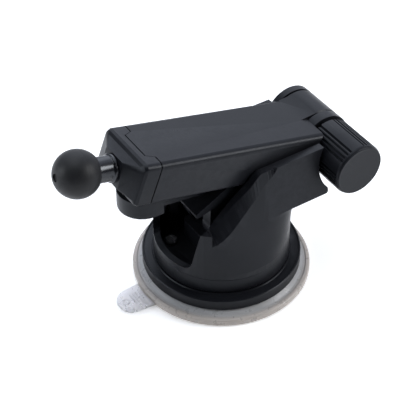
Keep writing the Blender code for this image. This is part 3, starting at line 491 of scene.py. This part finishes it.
# The ball's centre, along the arm's own axis from the pivot
BALL_X = -103.6
BALL_RADIUS = 8.5
BALL_NECK_RADIUS = 6.0
BALL_DIMPLE = (1.5, 0.7)  # radius and depth
BALL_MOULD_LINE = (0.05, 0.012)  # depth, and half width as an angle in radians

# The knob lies along the Y axis: its cap's face, the grip's two ends and the end of the grip's bore
KNOB_FACE = millimetres(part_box("knob_cap")[0].y)
KNOB_END = KNOB_FACE + 0.4
KNOB_INNER = millimetres(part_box("knob_grip")[1].y)
KNOB_BORE_END = -24.0
KNOB_BORE = 3.5
KNOB_PANELS = 6
KNOB_PANEL_STEPS = 40
KNOB_FINE_RIBS = 3
KNOB_PHASE = math.radians(80)  # where the first panel starts


def add_tab(bm):
    """The pull tab: a tongue with a round end and eased edges, a little wider where it meets the cup."""
    corners = [(-TAB_END, TAB_HALF, TAB_HALF * 0.96), (-TAB_END, -TAB_HALF, TAB_HALF * 0.96)]
    corners += [(-TAB_ROOT, -TAB_HALF - 1.0, 0.3), (-TAB_ROOT, TAB_HALF + 1.0, 0.3)]
    side = soften(corners, 12, True)
    middle = Vector((-(TAB_ROOT + TAB_END) / 2, 0))
    rings = []
    for height, inset in ((0.2, 0.35), (0.35, 0.1), (0.6, 0), (1.2, 0), (1.45, 0.1), (TAB_TOP, 0.35)):
        ring = [p + (middle - p).normalized() * inset for p in side]
        rings.append([Vector((p.x, p.y, height)) * MM for p in ring])
    skin(bm, rings, (middle.x * MM, 0, 0.2 * MM), (middle.x * MM, 0, TAB_TOP * MM))


def add_tab_ring(bm, steps=32, sides=10):
    """A small raised ring on the pull tab."""
    rings = []
    for j in range(steps):
        turn = math.tau * j / steps
        way = Vector((math.cos(turn), math.sin(turn), 0))
        centre = TAB_RING + way * TAB_RING_RADIUS
        ring = []
        for i in range(sides):
            round_wire = math.tau * i / sides
            rise = Vector((0, 0, TAB_RING_WIRE * math.sin(round_wire)))
            ring.append((centre + way * TAB_RING_WIRE * math.cos(round_wire) + rise) * MM)
        rings.append(ring)
    skin(bm, rings + rings[:1])


def make_gel(material):
    """The sticky cup: rounded rim with a raised bead, and a pull tab with ribs and a small ring."""
    corners = [(0, 0, 0), (CUP_RADIUS, 0, 0.8), (CUP_RADIUS, 2.8, 0.9), (32.9, 3.0, 0.3), (32.6, 2.75, 0.3)]
    corners += [(31.7, 2.9, 0.3), (30.0, 4.2, 0.4), (21, 4.2, 0.3), (18.5, 2.6, 0.3), (0, 2.6, 0)]
    bm = bmesh.new()
    lathe(bm, soften(corners), 160)
    add_tab(bm)
    for k in range(TAB_RIBS):
        middle = (-TAB_FIRST_RIB - TAB_RIB_STEP * k, 0, TAB_TOP)
        block(bm, middle, (0.5, 8.0 - 0.5 * k, 0.6), 0.18, 0.7)
    add_tab_ring(bm)
    bmesh.ops.remove_doubles(bm, verts=bm.verts, dist=0.0001 * MM)
    finish_piece("gel_cup_soft", into_mesh(bm, "gel_cup_soft", 50), material, "gel_cup")


def make_ball(material):
    """Rubber-skinned ball with a fine mould line round it and a flat-bottomed dimple at its pole."""
    dimple, depth = BALL_DIMPLE
    groove, half_width = BALL_MOULD_LINE
    start = math.asin(dimple / BALL_RADIUS)
    end = math.pi - math.acos(BALL_NECK_RADIUS / BALL_RADIUS)
    pole = BALL_RADIUS * math.cos(start)
    points = [(0, depth - pole), (1.2, depth - pole), (1.38, depth - pole - 0.1), (1.42, 0.12 - pole)]
    steps = 56
    for k in range(steps + 1):
        turn = start + (end - start) * k / steps
        radius = BALL_RADIUS - groove * math.exp(-(((turn - math.pi / 2) / half_width) ** 2))
        points.append((radius * math.sin(turn), -radius * math.cos(turn)))
    points += [(5.4, 6.05), (3.0, 6.0), (3.0, 2.1), (0, 2.1)]
    bm = bmesh.new()
    lathe(bm, [(radius, along + BALL_X) for radius, along in points], 96, "X")
    matrix = Matrix.Translation(PIVOT * MM) @ Matrix.Rotation(ARM_TILT, 4, "Y")
    bmesh.ops.transform(bm, matrix=matrix, verts=bm.verts)
    finish_piece("ball_skin", into_mesh(bm, "ball_skin", 40), material, "ball_head")


def make_knob(material):
    """Grip with broad panels, parted by bands of fine ribs that stop short of its smooth outer rim."""
    slots = 2 * KNOB_FINE_RIBS + 1
    count = KNOB_PANELS * KNOB_PANEL_STEPS

    def dip(part):
        """How deep the surface lies, at a part of the way from one panel to the next: grooves and ribs."""
        if part < 0.5:
            return 0.0
        slot = (part - 0.5) * 2 * slots
        across = abs(2 * (slot % 1.0) - 1)
        if int(slot) % 2:
            return 0.10 + 0.16 * across**2
        return 0.80 - 0.30 * across**3

    def outline(y, radius, depth):
        """One ring of the grip; depth is how far the grooves are cut, in millimetres."""
        ring = []
        for k in range(count):
            turn = KNOB_PHASE + math.tau * k / count
            here = radius - depth * dip((k / KNOB_PANEL_STEPS) % 1.0)
            ring.append(Vector((PIVOT.x + here * math.cos(turn), y, PIVOT.z + here * math.sin(turn))) * MM)
        return ring

    length = KNOB_INNER - KNOB_END
    rows = [(0, 9.85, 0), (0.12, 9.97, 0), (0.45, 10.13, 0), (0.8, 10.24, 0), (1.1, 10.3, 0.3)]
    rows += [(1.4, 10.3, 0.85), (1.9, 10.3, 1.0), (length / 2, 10.3, 1.0), (length - 0.6, 10.3, 1.0)]
    rows += [(length - 0.25, 10.2, 1.0), (length - 0.05, 9.98, 0.95), (length, 9.8, 0.9)]
    rings = [outline(KNOB_END + y, radius, depth) for y, radius, depth in rows]
    bore = [(KNOB_INNER, KNOB_BORE + 0.1), (KNOB_INNER - 0.15, KNOB_BORE), (KNOB_BORE_END, KNOB_BORE)]
    rings += [outline(y, radius, 0) for y, radius in bore]
    bm = bmesh.new()
    centre = Vector((PIVOT.x, 0, PIVOT.z))
    skin(bm, rings, (centre + Vector((0, KNOB_END, 0))) * MM, (centre + Vector((0, KNOB_BORE_END, 0))) * MM)
    finish_piece("knob_grip_ribs", into_mesh(bm, "knob_grip_ribs", 30), material, "knob_grip")


def make_knob_cap(material):
    """Plain end disc, very slightly dished, with a crisp edge, set in the grip's rim."""
    corners = [(0, 0.12, 0), (9.1, 0.04, 0.6), (9.3, 0, 0.2), (9.85, 0, 0.2)]
    corners += [(9.85, 0.32, 0.05), (9.7, 0.38, 0), (0, 0.38, 0)]
    points = soften(corners)
    bm = bmesh.new()
    lathe(bm, [Vector((p.x, KNOB_FACE + p.y)) for p in points], 120, "Y", (PIVOT.x, 0, PIVOT.z))
    finish_piece("knob_cap_disc", into_mesh(bm, "knob_cap_disc", 35), material, "knob_cap")


# ---- build ----------------------------------------------------------------------------------------------

make_camera()
make_studio()
make_floor()

BY_SLOT = {
    "black_plastic": moulded_plastic("black_abs", (0.0055, 0.0059, 0.0076), (0.0080, 0.0085, 0.0108), 0.35),
    "gloss_black": moulded_plastic(
        "black_acetal",
        (0.0050, 0.0053, 0.0066),
        (0.0075, 0.0078, 0.0094),
        0.20,
        grain=0.12,
        edge_wear_and_highlight=0.2,
        scratches=0.12,
        shine=0.5,
    ),
    "black_rubber": soft_rubber("black_rubber", (0.0050, 0.0053, 0.0064), (0.0080, 0.0084, 0.0098), 0.5),
    "clear_gel": clear_gel(
        "clear_gel",
        body=(0.42, 0.42, 0.425),
        rim=(0.45, 0.41, 0.38),
        tab=(0.95, 0.94, 0.97),
        see_through=0.15,
        rough=0.30,
    ),
    "zinc_steel": plated_metal("zinc_steel", (0.12, 0.12, 0.125), (0.26, 0.26, 0.27), 0.34),
    "brass": plated_metal("turned_brass", (0.50, 0.36, 0.15), (0.78, 0.60, 0.30), 0.30),
}

# Nodes that keep their CAD shape with rounded edges: the rounding's width in millimetres
EDGE = {
    "tower_shell": 0.3,
    "arm_sleeve": 0.3,
    "end_cap": 0.4,
    "cup_housing": 0.25,
    "base_plate": 0.12,
    "suction_lever": 0.5,
    "arm_bottom_cover": 0.25,
    "inner_slide": 0.25,
    "ball_stud": 0.3,
    "cup_plunger": 0.2,
    "slide_pad": 0.1,
}
# bevelled()'s flat, angle and even, for most nodes and for the ones with curved, twisted faces
FLAT_SIDED = (0.6, 30, False)
READING = {"tower_shell": (0.05, 17, True)}
# Nodes that are drawn afresh
MADE = {"gel_cup": make_gel, "ball_head": make_ball, "knob_grip": make_knob, "knob_cap": make_knob_cap}

for node, obj in frame["nodes"].items():
    material = BY_SLOT[NODE_SLOT[node]]
    if node in MADE:
        MADE[node](material)
    elif node in EDGE:
        bevelled(node, f"{node}_moulding", material, EDGE[node] * MM, *READING.get(node, FLAT_SIDED))
    else:
        obj.data.materials.clear()
        obj.data.materials.append(material)
